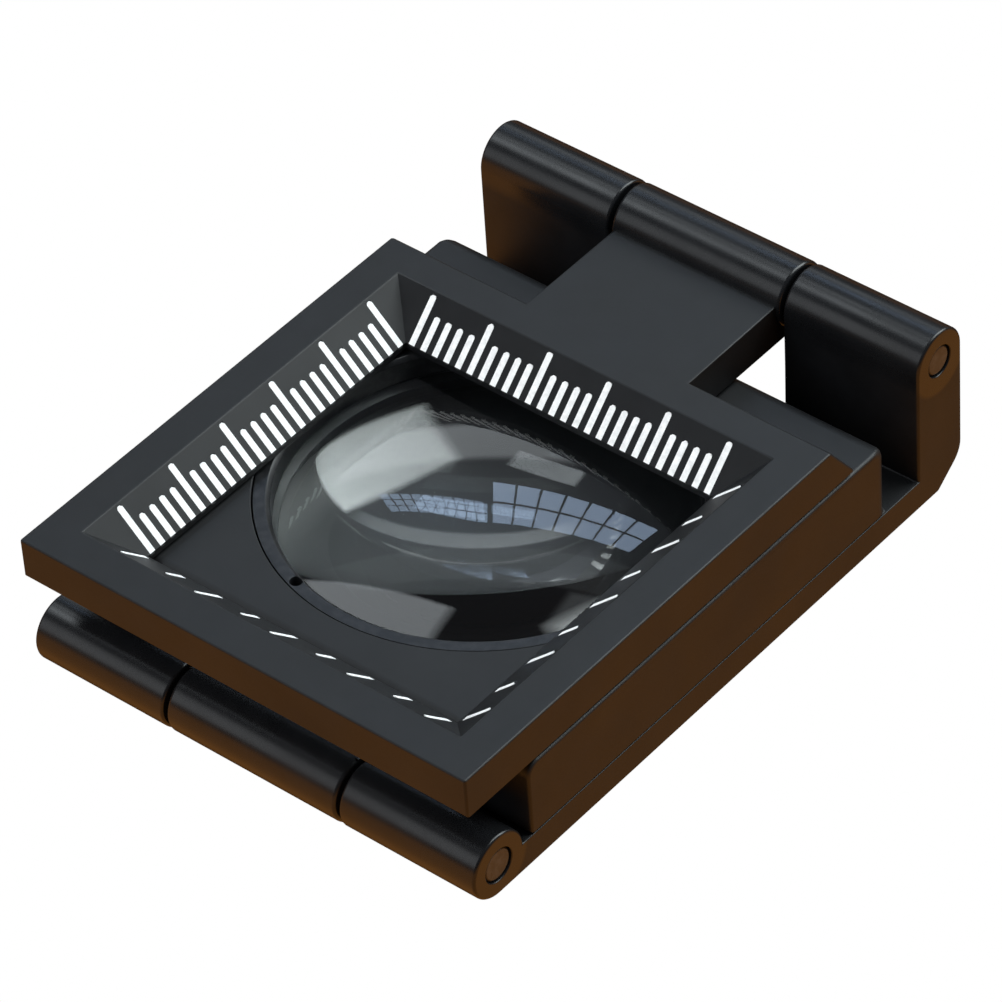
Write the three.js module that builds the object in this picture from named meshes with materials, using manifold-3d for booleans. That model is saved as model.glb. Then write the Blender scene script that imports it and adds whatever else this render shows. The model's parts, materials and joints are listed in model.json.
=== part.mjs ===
// A folding pocket magnifier (linen tester), shown folded flat.
//
// Three plates hang on two hinge pins. The spine plate lies at the bottom and carries a low hinge
// at the front, for the lens plate, and a tall hinge at the back, for the scale plate, which folds
// down over the lens. In use the scale plate and then the lens plate each swing 270 degrees, over
// the top and round to the spine plate's outer side, so that the lens faces the graduated window
// from one hinge spacing away.
//
// Millimetres. +X runs along the pins, +Y from the lens hinge to the scale hinge, +Z up from the
// spine plate's outer face. The origin is the middle of the footprint, on that face.

import * as THREE from 'three';
import { mergeVertices } from 'three/addons/utils/BufferGeometryUtils.js';
import Module from 'manifold-3d';

const wasm = await Module();
wasm.setup();

// ---------------------------------------------------------------- driving dimensions

const WIDTH = 37.2;

// Hinges
const HINGE_SPACING = 46.45;
const FRONT_KNUCKLE_R = 2.45;
const BACK_KNUCKLE_R = 2.4;
const FRONT_OVERHANG = 2.55; // how far the scale plate reaches past the lens hinge pin
const CENTRE_KNUCKLE_HALF = 7.15;
const KNUCKLE_GAP = 0.3;
const FRONT_PIN_R = 1.25;
const BACK_PIN_R = 1.15;
const PIN_CLEARANCE = 0.04;
const PIN_RECESS = 0.1;
const PIN_CHAMFER = 0.15;

// Levels above the spine plate's outer face
const FRONT_PIN_Z = FRONT_KNUCKLE_R;
const BACK_PIN_Z = 11.45;
const SPINE_TOP = 2.4;
const LENS_PLATE_BOTTOM = 2.5;
const LENS_PLATE_TOP = 8.35;
const SCALE_PLATE_BOTTOM = 8.6;
const SCALE_PLATE_TOP = 11.85;

// Scale plate
const SCALE_FRONT_REACH = 18.8; // from the window's centre to the graduated face's front edge
const SCALE_BACK_REACH = 18.45; // and to its back edge
const SCALE_BACK_LEAN = 2.5; // how far the leaning back face comes out by the underside
const TONGUE_HALF = 6.85;
const TONGUE_END = 0.6; // the tongue's flat underside ends this far short of the pin's axis
const WINDOW_REACH = 30.2; // from the scale hinge pin to the window's centre
const WINDOW_HALF = 13.0;
const WINDOW_LAND = 0.5; // height of the upright wall below the bevel
const BEVEL_WIDTH = 2.85;

// Graduations, engraved in the window's four bevels. A mark's start, and the ends of a long and a
// short one, are shares of the slope from the window's edge.
const MARK_DEPTH = 0.12;
const METRIC = { count: 26, pitch: 1, longEvery: 5, width: 0.44, start: 0, long: 0.94, short: 0.63 };
const INCH = { count: 9, pitch: 25.4 / 8, longEvery: 2, width: 0.4, start: 0.09, long: 0.94, short: 0.69 };

// Lens plate and lens cell
const LENS_REACH = 22.0; // from the lens hinge pin to the lens's axis
const LENS_PLATE_HALF_LENGTH = 18.7;
const LENS_PLATE_BACK_ROUND = 1.3;
const LENS_PLATE_FRONT_ROUND = 1.1;
const APERTURE_R = 13.6;
const LENS_SEAT_DROP = 0.38; // the seat lies this far below the lens's edge
const LENS_POCKET_R = 14.8;
const RING_BORE_R = 15.5;
const RING_OUTER_R = 15.4;
const RING_INNER_R = 14.25;
const RING_BOTTOM = 6.35;
const RING_TOP = 8.25;
const RING_CHAMFER = 0.3;
const RING_SHOULDER = 6.3;
const SPANNER_HOLE_R = 0.45;
const SPANNER_HOLE_DEPTH = 1.1;
const SPANNER_HOLE_ANGLE = 73; // degrees from +X

// Lens, of equal curves
const LENS_R = 14.7;
const LENS_CURVE_R = 50;
const LENS_EDGE = 1.0;
const LENS_MIDDLE_Z = 5.65;

// Fits
const STOP_GAP = 0.1; // left between the scale plate's leaning face and its stop at 270 degrees
const STOP_BLEND_R = 2;
const ARM_CLEARANCE = 0.3;
const ARM_ROOT = 2.5; // how far the lens plate's arm runs into the plate

// Facets in a full turn
const KNUCKLE_FACETS = 48;
const CELL_FACETS = 72;
const LENS_RINGS = 6;

// ---------------------------------------------------------------- worked out from those

const LENGTH = FRONT_OVERHANG + HINGE_SPACING + BACK_KNUCKLE_R;
const FRONT_PIN_Y = FRONT_OVERHANG - LENGTH / 2;
const BACK_PIN_Y = FRONT_PIN_Y + HINGE_SPACING;
const NOTCH_HALF = CENTRE_KNUCKLE_HALF + KNUCKLE_GAP;
const SCALE_THICKNESS = SCALE_PLATE_TOP - SCALE_PLATE_BOTTOM;
const BEVEL_DEPTH = SCALE_THICKNESS - WINDOW_LAND;
const LEAN_ANGLE = Math.atan2(SCALE_BACK_LEAN, SCALE_THICKNESS);
const BEYOND = 5; // how far a cutter runs past what it cuts

// ---------------------------------------------------------------- geometry helpers

/** A closed three.js geometry as a manifold solid. */
function solid(geometry) {
  const bare = geometry.clone();
  bare.deleteAttribute('normal');
  bare.deleteAttribute('uv');
  const merged = mergeVertices(bare, 1e-5);
  return new wasm.Manifold(new wasm.Mesh({
    numProp: 3,
    vertProperties: new Float32Array(merged.getAttribute('position').array),
    triVerts: new Uint32Array(merged.getIndex().array),
  }));
}

/** A manifold solid as a three.js geometry. */
function geometryOf(manifold) {
  const mesh = manifold.getMesh();
  const geometry = new THREE.BufferGeometry();
  geometry.setAttribute('position', new THREE.BufferAttribute(mesh.vertProperties, mesh.numProp));
  geometry.setIndex(new THREE.BufferAttribute(mesh.triVerts, 1));
  geometry.computeVertexNormals();
  return geometry;
}

/** A profile drawn in (y, z), extruded along X to both sides of x = 0. */
function alongX(profile, halfWidth) {
  const geometry = new THREE.ExtrudeGeometry(new THREE.Shape(profile), {
    depth: 2 * halfWidth,
    bevelEnabled: false,
  });
  geometry.applyMatrix4(new THREE.Matrix4().set(
    0, 0, 1, -halfWidth,
    1, 0, 0, 0,
    0, 1, 0, 0,
    0, 0, 0, 1,
  ));
  return solid(geometry);
}

/** A box between two opposite corners. */
function box(low, high) {
  const size = high.map((h, i) => h - low[i]);
  const geometry = new THREE.BoxGeometry(...size);
  geometry.translate(...low.map((l, i) => l + size[i] / 2));
  return solid(geometry);
}

/** A round bar along X, centred on x = 0. */
function barX(radius, halfLength, y = 0, z = 0) {
  const geometry = new THREE.CylinderGeometry(radius, radius, 2 * halfLength, KNUCKLE_FACETS);
  geometry.rotateZ(Math.PI / 2);
  geometry.translate(0, y, z);
  return solid(geometry);
}

/** A round bar along Z from one level to another. */
function barZ(radius, low, high, x = 0, y = 0, facets = CELL_FACETS) {
  const geometry = new THREE.CylinderGeometry(radius, radius, high - low, facets);
  geometry.rotateX(Math.PI / 2);
  geometry.translate(x, y, (low + high) / 2);
  return solid(geometry);
}

/** A solid of revolution about Z, from a closed profile of (radius, height) points. */
function turned(profile) {
  const geometry = new THREE.LatheGeometry(profile, CELL_FACETS);
  geometry.rotateX(Math.PI / 2);
  return solid(geometry);
}

/** Points along an arc in (y, z), ends included; angles in radians from +Y towards +Z. */
function arc(y, z, radius, from, to) {
  const steps = Math.max(2, Math.ceil(Math.abs(to - from) / (2 * Math.PI) * KNUCKLE_FACETS));
  return Array.from({ length: steps + 1 }, (_, i) => {
    const angle = from + (to - from) * i / steps;
    return new THREE.Vector2(y + radius * Math.cos(angle), z + radius * Math.sin(angle));
  });
}

const at = (y, z) => new THREE.Vector2(y, z);

// ---------------------------------------------------------------- the pieces

/**
 * The stop on the spine plate's ears: the bevel, parallel to the scale plate's leaning back face
 * when that plate hangs at 270 degrees, and the round that blends it into the ear's outer face.
 * Returns profile points, relative to the scale hinge pin, from the outer face down.
 */
function earStop() {
  const normal = at(Math.sin(LEAN_ANGLE), -Math.cos(LEAN_ANGLE));
  const upperEdgeHangs = at(-(SCALE_PLATE_TOP - BACK_PIN_Z), SCALE_BACK_REACH - WINDOW_REACH);
  const reach = upperEdgeHangs.dot(normal) - STOP_GAP;
  const blendY = BACK_KNUCKLE_R - STOP_BLEND_R;
  const blendZ = (normal.x * blendY + STOP_BLEND_R - reach) / -normal.y;
  const bottomY = (reach + normal.y * BACK_PIN_Z) / normal.x;
  return [
    ...arc(blendY, blendZ, STOP_BLEND_R, 0, LEAN_ANGLE - Math.PI / 2),
    at(bottomY, -BACK_PIN_Z),
  ];
}

/** The spine plate: a flat strip with the lens hinge's outer knuckles and the tall ears. */
function spinePlate() {
  const kneeAngle = Math.asin((SPINE_TOP - FRONT_PIN_Z) / FRONT_KNUCKLE_R);
  const profile = [
    ...arc(FRONT_PIN_Y, FRONT_PIN_Z, FRONT_KNUCKLE_R, 1.5 * Math.PI, kneeAngle),
    at(BACK_PIN_Y - BACK_KNUCKLE_R, SPINE_TOP),
    ...arc(BACK_PIN_Y, BACK_PIN_Z, BACK_KNUCKLE_R, Math.PI, 0),
    ...earStop().map((p) => at(p.x + BACK_PIN_Y, p.y + BACK_PIN_Z)),
  ];
  const height = BACK_PIN_Z + BACK_KNUCKLE_R + BEYOND;
  const backNotch = box(
    [-NOTCH_HALF, BACK_PIN_Y - BACK_KNUCKLE_R, -BEYOND],
    [NOTCH_HALF, BACK_PIN_Y + BEYOND, height],
  );
  const frontNotch = box(
    [-NOTCH_HALF, FRONT_PIN_Y - BEYOND, -BEYOND],
    [NOTCH_HALF, FRONT_PIN_Y + FRONT_KNUCKLE_R + ARM_CLEARANCE, height],
  );
  const frontHole = barX(FRONT_PIN_R + PIN_CLEARANCE, WIDTH, FRONT_PIN_Y, FRONT_PIN_Z);
  const backHole = barX(BACK_PIN_R + PIN_CLEARANCE, WIDTH, BACK_PIN_Y, BACK_PIN_Z);
  return alongX(profile.reverse(), WIDTH / 2)
    .subtract(backNotch)
    .subtract(frontNotch)
    .subtract(frontHole)
    .subtract(backHole);
}

/** A hinge pin, centred on its own axis along X, with a small chamfer at each end. */
function hingePin(radius) {
  const half = WIDTH / 2 - PIN_RECESS;
  const profile = [
    at(0, -half),
    at(radius - PIN_CHAMFER, -half),
    at(radius, -half + PIN_CHAMFER),
    at(radius, half - PIN_CHAMFER),
    at(radius - PIN_CHAMFER, half),
    at(0, half),
  ];
  const geometry = new THREE.LatheGeometry(profile, KNUCKLE_FACETS);
  geometry.rotateZ(-Math.PI / 2);
  return solid(geometry);
}

/** The window through the scale plate: an upright wall below four bevels. Centred on x = y = 0. */
function windowCutter(bottom) {
  const rise = BEVEL_DEPTH + BEYOND;
  const topHalf = WINDOW_HALF + BEVEL_WIDTH * rise / BEVEL_DEPTH;
  const bevels = new THREE.CylinderGeometry(topHalf * Math.SQRT2, WINDOW_HALF * Math.SQRT2, rise, 4);
  bevels.rotateY(Math.PI / 4);
  bevels.rotateX(Math.PI / 2);
  bevels.translate(0, 0, bottom + WINDOW_LAND + rise / 2);
  const wall = box(
    [-WINDOW_HALF, -WINDOW_HALF, bottom - BEYOND],
    [WINDOW_HALF, WINDOW_HALF, bottom + WINDOW_LAND + MARK_DEPTH],
  );
  return solid(bevels).add(wall);
}

/** One engraved mark on the bevel at +Y, at a place along the scale. Centred like the window. */
function mark(place, width, start, end, bottom) {
  const slope = Math.hypot(BEVEL_WIDTH, BEVEL_DEPTH);
  const low = start > 0 ? slope * start : -MARK_DEPTH; // a mark that starts at the edge runs out over it
  const high = slope * end;
  const geometry = new THREE.BoxGeometry(width, high - low, 2 * MARK_DEPTH);
  geometry.translate(0, (low + high) / 2, 0);
  geometry.rotateX(Math.atan2(BEVEL_DEPTH, BEVEL_WIDTH));
  geometry.translate(place, WINDOW_HALF, bottom + WINDOW_LAND);
  return geometry;
}

/** All the marks of one scale, turned to its side of the window. */
function graduation(scale, bottom) {
  return Array.from({ length: scale.count }, (_, i) => {
    const place = (i - (scale.count - 1) / 2) * scale.pitch;
    const end = i % scale.longEvery === 0 ? scale.long : scale.short;
    const geometry = mark(place, scale.width, scale.start, end, bottom);
    geometry.rotateZ(scale.side);
    return solid(geometry);
  });
}

const GRADUATIONS = [
  { ...METRIC, side: 0 },
  { ...METRIC, side: Math.PI / 2 },
  { ...INCH, side: Math.PI },
  { ...INCH, side: -Math.PI / 2 },
];

/** The tongue and centre knuckle that join the scale plate to its pin. Relative to the pin. */
function scaleTongue(bottom, top) {
  const far = at(-TONGUE_END, bottom);
  const spread = Math.acos(BACK_KNUCKLE_R / far.length());
  const tangent = Math.atan2(far.y, far.x) + spread;
  const plateEdge = SCALE_BACK_REACH - WINDOW_REACH - SCALE_BACK_LEAN;
  const profile = [
    at(plateEdge, bottom),
    far,
    ...arc(0, 0, BACK_KNUCKLE_R, tangent, Math.PI - Math.asin(top / BACK_KNUCKLE_R)),
    at(plateEdge, top),
  ];
  return alongX(profile, TONGUE_HALF).add(barX(BACK_KNUCKLE_R, CENTRE_KNUCKLE_HALF));
}

/** The scale plate, relative to the scale hinge pin. */
function scalePlate() {
  const bottom = SCALE_PLATE_BOTTOM - BACK_PIN_Z;
  const top = SCALE_PLATE_TOP - BACK_PIN_Z;
  const front = -WINDOW_REACH - SCALE_FRONT_REACH;
  const back = -WINDOW_REACH + SCALE_BACK_REACH;
  const plate = alongX([
    at(front, bottom),
    at(back + SCALE_BACK_LEAN, bottom),
    at(back, top),
    at(front, top),
  ], WIDTH / 2);
  const marks = GRADUATIONS.flatMap((scale) => graduation(scale, bottom));
  const cutters = [windowCutter(bottom), ...marks].map((c) => c.translate([0, -WINDOW_REACH, 0]));
  const hole = barX(BACK_PIN_R + PIN_CLEARANCE, WIDTH);
  return cutters.reduce(
    (body, cutter) => body.subtract(cutter),
    plate.add(scaleTongue(bottom, top)).subtract(hole),
  );
}

/** Height of the lens's spherical face above its rim, at a radius. */
function lensSag(radius) {
  const depth = (r) => LENS_CURVE_R - Math.sqrt(LENS_CURVE_R ** 2 - r ** 2);
  return depth(LENS_R) - depth(radius);
}

/** The lens, centred on its own middle plane, with its axis along Z. */
function lens() {
  const face = Array.from({ length: LENS_RINGS + 1 }, (_, i) => {
    const radius = LENS_R * i / LENS_RINGS;
    return at(radius, LENS_EDGE / 2 + lensSag(radius));
  });
  const underside = face.map((p) => at(p.x, -p.y));
  return turned([...underside, ...face.reverse()]);
}

/** The threaded ring that holds the lens down, with two blind holes for a pin spanner. */
function retainingRing() {
  const ring = turned([
    at(RING_INNER_R, RING_BOTTOM),
    at(RING_OUTER_R, RING_BOTTOM),
    at(RING_OUTER_R, RING_TOP),
    at(RING_INNER_R + RING_CHAMFER, RING_TOP),
    at(RING_INNER_R, RING_TOP - RING_CHAMFER),
    at(RING_INNER_R, RING_BOTTOM),
  ]);
  const holes = [0, 180].map((turn) => {
    const angle = THREE.MathUtils.degToRad(SPANNER_HOLE_ANGLE + turn);
    const middle = (RING_INNER_R + RING_OUTER_R) / 2;
    const floor = RING_TOP - SPANNER_HOLE_DEPTH;
    const [x, y] = [middle * Math.cos(angle), middle * Math.sin(angle)];
    return barZ(SPANNER_HOLE_R, floor, RING_TOP + BEYOND, x, y, KNUCKLE_FACETS / 2);
  });
  return ring.subtract(holes[0]).subtract(holes[1]);
}

/** The lens plate, relative to the lens hinge pin. */
function lensPlate() {
  const bottom = LENS_PLATE_BOTTOM - FRONT_PIN_Z;
  const top = LENS_PLATE_TOP - FRONT_PIN_Z;
  const front = LENS_REACH - LENS_PLATE_HALF_LENGTH;
  const back = LENS_REACH + LENS_PLATE_HALF_LENGTH;
  const backRound = LENS_PLATE_BACK_ROUND;
  const frontRound = LENS_PLATE_FRONT_ROUND;
  const plate = alongX([
    at(front, bottom),
    at(back, bottom),
    ...arc(back - backRound, top - backRound, backRound, 0, Math.PI / 2),
    ...arc(front + frontRound, top - frontRound, frontRound, Math.PI / 2, Math.PI),
  ], WIDTH / 2);
  const arm = box(
    [-CENTRE_KNUCKLE_HALF, 0, bottom],
    [CENTRE_KNUCKLE_HALF, front + ARM_ROOT, FRONT_KNUCKLE_R],
  );
  const knuckle = barX(FRONT_KNUCKLE_R, CENTRE_KNUCKLE_HALF);
  const lift = -FRONT_PIN_Z;
  const seat = LENS_MIDDLE_Z - LENS_EDGE / 2 - LENS_SEAT_DROP;
  const bores = [
    barZ(APERTURE_R, bottom - BEYOND, top + BEYOND, 0, LENS_REACH),
    barZ(LENS_POCKET_R, seat + lift, top + BEYOND, 0, LENS_REACH),
    barZ(RING_BORE_R, RING_SHOULDER + lift, top + BEYOND, 0, LENS_REACH),
    barX(FRONT_PIN_R + PIN_CLEARANCE, WIDTH),
  ];
  return bores.reduce((body, bore) => body.subtract(bore), plate.add(arm).add(knuckle));
}

// ---------------------------------------------------------------- materials

const blackMetal = new THREE.MeshStandardMaterial({ color: 0x2c2e33, roughness: 0.5, metalness: 0.6 });
const ringMetal = new THREE.MeshStandardMaterial({ color: 0x303236, roughness: 0.4, metalness: 0.7 });
const pinMetal = new THREE.MeshStandardMaterial({ color: 0x3a3a3c, roughness: 0.45, metalness: 0.8 });
const glass = new THREE.MeshStandardMaterial({
  color: 0xdde6e6,
  roughness: 0.05,
  metalness: 0,
  transparent: true,
  opacity: 0.35,
});

// ---------------------------------------------------------------- the assembly

function piece(name, manifold, material, y = 0, z = 0) {
  const mesh = new THREE.Mesh(geometryOf(manifold), material);
  mesh.name = name;
  mesh.position.set(0, y, z);
  return mesh;
}

function hingedGroup(pinY, pinZ, ...pieces) {
  const group = new THREE.Group();
  group.position.set(0, pinY, pinZ);
  group.add(...pieces);
  return group;
}

const loupe = new THREE.Group();
loupe.add(
  piece('spine_plate', spinePlate(), blackMetal),
  piece('scale_hinge_pin', hingePin(BACK_PIN_R), pinMetal, BACK_PIN_Y, BACK_PIN_Z),
  piece('lens_hinge_pin', hingePin(FRONT_PIN_R), pinMetal, FRONT_PIN_Y, FRONT_PIN_Z),
  hingedGroup(BACK_PIN_Y, BACK_PIN_Z, piece('scale_plate', scalePlate(), blackMetal)),
  hingedGroup(
    FRONT_PIN_Y,
    FRONT_PIN_Z,
    piece('lens_plate', lensPlate(), blackMetal),
    piece('lens', lens(), glass, LENS_REACH, LENS_MIDDLE_Z - FRONT_PIN_Z),
    piece('lens_retaining_ring', retainingRing(), ringMetal, LENS_REACH, -FRONT_PIN_Z),
  ),
);

export default loupe;
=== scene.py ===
import itertools
import json
import math
import random

import bmesh
import bpy
from mathutils import Matrix, Vector


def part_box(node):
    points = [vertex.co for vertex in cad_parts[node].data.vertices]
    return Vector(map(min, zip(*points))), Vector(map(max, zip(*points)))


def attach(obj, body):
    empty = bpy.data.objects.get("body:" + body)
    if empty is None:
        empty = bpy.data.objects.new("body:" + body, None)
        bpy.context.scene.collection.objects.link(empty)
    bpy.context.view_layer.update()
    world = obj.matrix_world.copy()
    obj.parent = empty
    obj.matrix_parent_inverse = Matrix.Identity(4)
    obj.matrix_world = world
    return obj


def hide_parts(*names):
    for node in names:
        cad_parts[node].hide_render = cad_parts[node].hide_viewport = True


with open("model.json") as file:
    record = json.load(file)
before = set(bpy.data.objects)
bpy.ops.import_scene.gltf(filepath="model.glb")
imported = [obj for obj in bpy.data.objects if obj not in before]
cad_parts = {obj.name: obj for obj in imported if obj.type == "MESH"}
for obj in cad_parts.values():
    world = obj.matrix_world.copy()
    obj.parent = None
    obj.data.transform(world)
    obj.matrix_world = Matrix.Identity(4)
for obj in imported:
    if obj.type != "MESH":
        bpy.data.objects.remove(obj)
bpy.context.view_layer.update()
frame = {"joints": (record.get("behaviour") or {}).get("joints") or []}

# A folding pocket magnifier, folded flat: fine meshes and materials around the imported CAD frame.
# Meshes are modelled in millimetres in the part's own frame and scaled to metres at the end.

MM = 0.001

# ---------------------------------------------------------------- sizes, in millimetres


def pin_of(joint_name):
    """(y, z) of a hinge pin's axis."""
    joint = next(j for j in frame["joints"] if j["name"] == joint_name)
    return joint["pos_m"][1] / MM, joint["pos_m"][2] / MM


def node_box(node):
    low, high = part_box(node)
    return low / MM, high / MM


FRONT_PIN = pin_of("lens_hinge")
BACK_PIN = pin_of("scale_hinge")
SPINE_HIGH = node_box("spine_plate")[1]
SCALE_LOW = node_box("scale_plate")[0]
LENS_PLATE_HIGH = node_box("lens_plate")[1]
RING_LOW, RING_HIGH = node_box("lens_retaining_ring")
LENS_LOW, LENS_HIGH = node_box("lens")

HALF_WIDTH = SPINE_HIGH.x
FRONT_KNUCKLE_R = FRONT_PIN[1]
BACK_KNUCKLE_R = SPINE_HIGH.z - BACK_PIN[1]
CENTRE_KNUCKLE_HALF = 7.15
KNUCKLE_GAP = 0.3
NOTCH_HALF = CENTRE_KNUCKLE_HALF + KNUCKLE_GAP
FRONT_PIN_R = 1.25
BACK_PIN_R = 1.15
PIN_CLEARANCE = 0.04
PIN_CHAMFER = 0.15

SPINE_TOP = 2.4
ARM_CLEARANCE = 0.3
STOP_GAP = 0.1
STOP_BLEND_R = 2.0

SCALE_BOTTOM = 8.6
SCALE_TOP = 11.85
SCALE_FRONT = SCALE_LOW.y
SCALE_FRONT_REACH = 18.8
SCALE_BACK_REACH = 18.45
SCALE_BACK_LEAN = 2.5
TONGUE_HALF = 6.85
TONGUE_END = 0.6
TONGUE_ROOT = 1.0
WINDOW_HALF = 13.0
WINDOW_LAND = 0.5
BEVEL_WIDTH = 2.85

MARK_DEPTH = 0.12
PAINT_BED = 0.004  # from the engraving's floor to the paint's underside
PAINT_SPREAD = 0.02  # past each side of the engraving
PAINT_PROUD = 0.01  # above the slope, with up to PAINT_UNEVEN more
PAINT_UNEVEN = 0.012
PAINT_SHORT = 0.05  # the most by which a mark's paint ends early
PAINT_CORNER = (0.5, 0.75)  # the cut corners at its end, as shares of half its width
# A mark's start, and the ends of a long and a short one, are shares of the slope; its paint stops
# short of both ends by the length bare.
METRIC = {
    "count": 26, "pitch": 1.0, "long_every": 5, "width": 0.44,
    "start": 0.0, "long": 0.94, "short": 0.63, "bare": 0.01,
}
INCH = {
    "count": 9, "pitch": 25.4 / 8, "long_every": 2, "width": 0.4,
    "start": 0.09, "long": 0.94, "short": 0.69, "bare": 0.2,
}

LENS_PLATE_BOTTOM = 2.5
LENS_PLATE_TOP = 8.35
LENS_PLATE_BACK_ROUND = 1.3
LENS_PLATE_FRONT_ROUND = 1.1
LENS_PLATE_CORNER = 1.1
ARM_ROOT = 2.5
ARM_INSET = 0.002  # keeps the arm's faces off the knuckle's
APERTURE_R = 13.6
SEAT_Z = 4.77
LENS_POCKET_R = 14.8
RING_SHOULDER = 6.3
RING_BORE_R = 15.5
RING_INNER_R = 14.25
RING_CHAMFER = 0.3
SPANNER_HOLE_R = 0.45
SPANNER_HOLE_DEPTH = 1.1
SPANNER_HOLE_ANGLE = 73
LENS_EDGE = 1.0

# Roundings of the edges
PIN_HOLE_EDGE = 0.08
PIN_EDGE = 0.06
STACKED_EDGE = 0.08  # along the plates' sides where they lie on each other
INNER_CORNER = 0.12
SPINE_EDGE = 0.25
SPINE_SIDE_EDGE = 0.22
WINDOW_EDGE = 0.1
SCALE_TOP_EDGE = 0.16
SCALE_EDGE = 0.2
SCALE_UNDER_EDGE = 0.3
SCALE_KNUCKLE_EDGE = 0.28
LENS_PLATE_EDGE = 0.25
LENS_KNUCKLE_EDGE = 0.28
BORE_EDGE = 0.09
RING_EDGE = 0.05

# How an edge is told by its middle and its direction
ON_FACE = 0.05  # this close to a face's place, it lies on that face
NEAR_PIN = 1.5  # this close to a pin's axis, it belongs to the pin's hole
MARGIN = 0.1  # on the other lengths that are compared
ALONG = 0.9  # with this much of its direction along an axis, it runs along that axis

WINDOW_Y = SCALE_FRONT + SCALE_FRONT_REACH
SCALE_BACK = WINDOW_Y + SCALE_BACK_REACH
BEVEL_DEPTH = SCALE_TOP - SCALE_BOTTOM - WINDOW_LAND
SLOPE_LENGTH = math.hypot(BEVEL_WIDTH, BEVEL_DEPTH)
LENS_Y = (LENS_LOW.y + LENS_HIGH.y) / 2
LENS_Z = (LENS_LOW.z + LENS_HIGH.z) / 2
LENS_R = (LENS_HIGH.y - LENS_LOW.y) / 2
LENS_PLATE_BACK = LENS_PLATE_HIGH.y
LENS_PLATE_FRONT = 2 * LENS_Y - LENS_PLATE_BACK
BEYOND = 5.0

FULL_TURN_FACETS = 128
CELL_FACETS = 192
SPANNER_HOLE_FACETS = 48
LENS_RINGS = 24

# ---------------------------------------------------------------- mesh helpers


def new_object(name, bm):
    """A bmesh, its faces turned outwards, as an object in the scene."""
    bmesh.ops.recalc_face_normals(bm, faces=bm.faces)
    mesh = bpy.data.meshes.new(name)
    bm.to_mesh(mesh)
    bm.free()
    obj = bpy.data.objects.new(name, mesh)
    bpy.context.scene.collection.objects.link(obj)
    return obj


def loft(name, rings, endless=False):
    """A closed solid through rings that hold the same number of points. Its ends are capped, or with
    endless the last ring is joined to the first."""
    bm = bmesh.new()
    rows = [[bm.verts.new(p) for p in ring] for ring in rings]
    following = rows[1:] + rows[:1] if endless else rows[1:]
    for low, high in zip(rows, following):
        for i in range(len(low)):
            j = (i + 1) % len(low)
            bm.faces.new((low[i], low[j], high[j], high[i]))
    if not endless:
        bm.faces.new(rows[0])
        bm.faces.new(rows[-1])
    return new_object(name, bm)


def along_x(name, profile, low, high):
    """A (y, z) profile extruded from x = low to x = high."""
    return loft(name, [[(x, y, z) for y, z in profile] for x in (low, high)])


def block(name, low, high):
    corners = [(low[1], low[2]), (high[1], low[2]), (high[1], high[2]), (low[1], high[2])]
    return along_x(name, corners, low[0], high[0])


def turned_x(name, profile, centre):
    """A solid turned about X through centre = (y, z), from (x, radius) points."""
    rings = []
    for x, radius in profile:
        ring = []
        for i in range(FULL_TURN_FACETS):
            angle = 2 * math.pi * i / FULL_TURN_FACETS
            ring.append((x, centre[0] + radius * math.cos(angle), centre[1] + radius * math.sin(angle)))
        rings.append(ring)
    return loft(name, rings)


def turned_z(name, profile, centre, facets=CELL_FACETS, ring_shape=False):
    """A solid turned about Z through centre = (x, y), from (radius, z) points.
    With ring_shape the profile is a closed loop clear of the axis."""
    rings = []
    for radius, z in profile:
        ring = []
        for i in range(facets):
            angle = 2 * math.pi * i / facets
            ring.append((centre[0] + radius * math.cos(angle), centre[1] + radius * math.sin(angle), z))
        rings.append(ring)
    return loft(name, rings, endless=ring_shape)


def arc(centre, radius, start, end):
    """Points along an arc in (y, z), ends included; angles in radians from +Y towards +Z."""
    steps = max(2, math.ceil(abs(end - start) / (2 * math.pi) * FULL_TURN_FACETS))
    angles = [start + (end - start) * i / steps for i in range(steps + 1)]
    return [(centre[0] + radius * math.cos(a), centre[1] + radius * math.sin(a)) for a in angles]


def bake_modifiers(obj):
    """Applies the object's modifiers to its mesh."""
    bpy.context.view_layer.update()
    depsgraph = bpy.context.evaluated_depsgraph_get()
    finished = bpy.data.meshes.new_from_object(obj.evaluated_get(depsgraph))
    rough = obj.data
    obj.modifiers.clear()
    obj.data = finished
    bpy.data.meshes.remove(rough)


def combine(obj, others, operation):
    """Booleans obj with each of the others, which are then removed."""
    for other in others:
        modifier = obj.modifiers.new("combine", "BOOLEAN")
        modifier.operation = operation
        modifier.solver = "EXACT"
        modifier.object = other
    bake_modifiers(obj)
    for other in others:
        mesh = other.data
        bpy.data.objects.remove(other)
        bpy.data.meshes.remove(mesh)


SPLINTER = 0.002
FLAT_BELOW = math.radians(0.2)
SHARP_FROM = math.radians(22)
SMOOTH_BELOW = math.radians(35)


def clean(bm):
    """Joins what the booleans left in splinters, and the seams they left across flat faces."""
    bmesh.ops.remove_doubles(bm, verts=bm.verts, dist=SPLINTER)
    bmesh.ops.dissolve_degenerate(bm, edges=bm.edges, dist=SPLINTER)
    bmesh.ops.dissolve_limit(bm, angle_limit=FLAT_BELOW, verts=bm.verts, edges=bm.edges)


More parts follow.
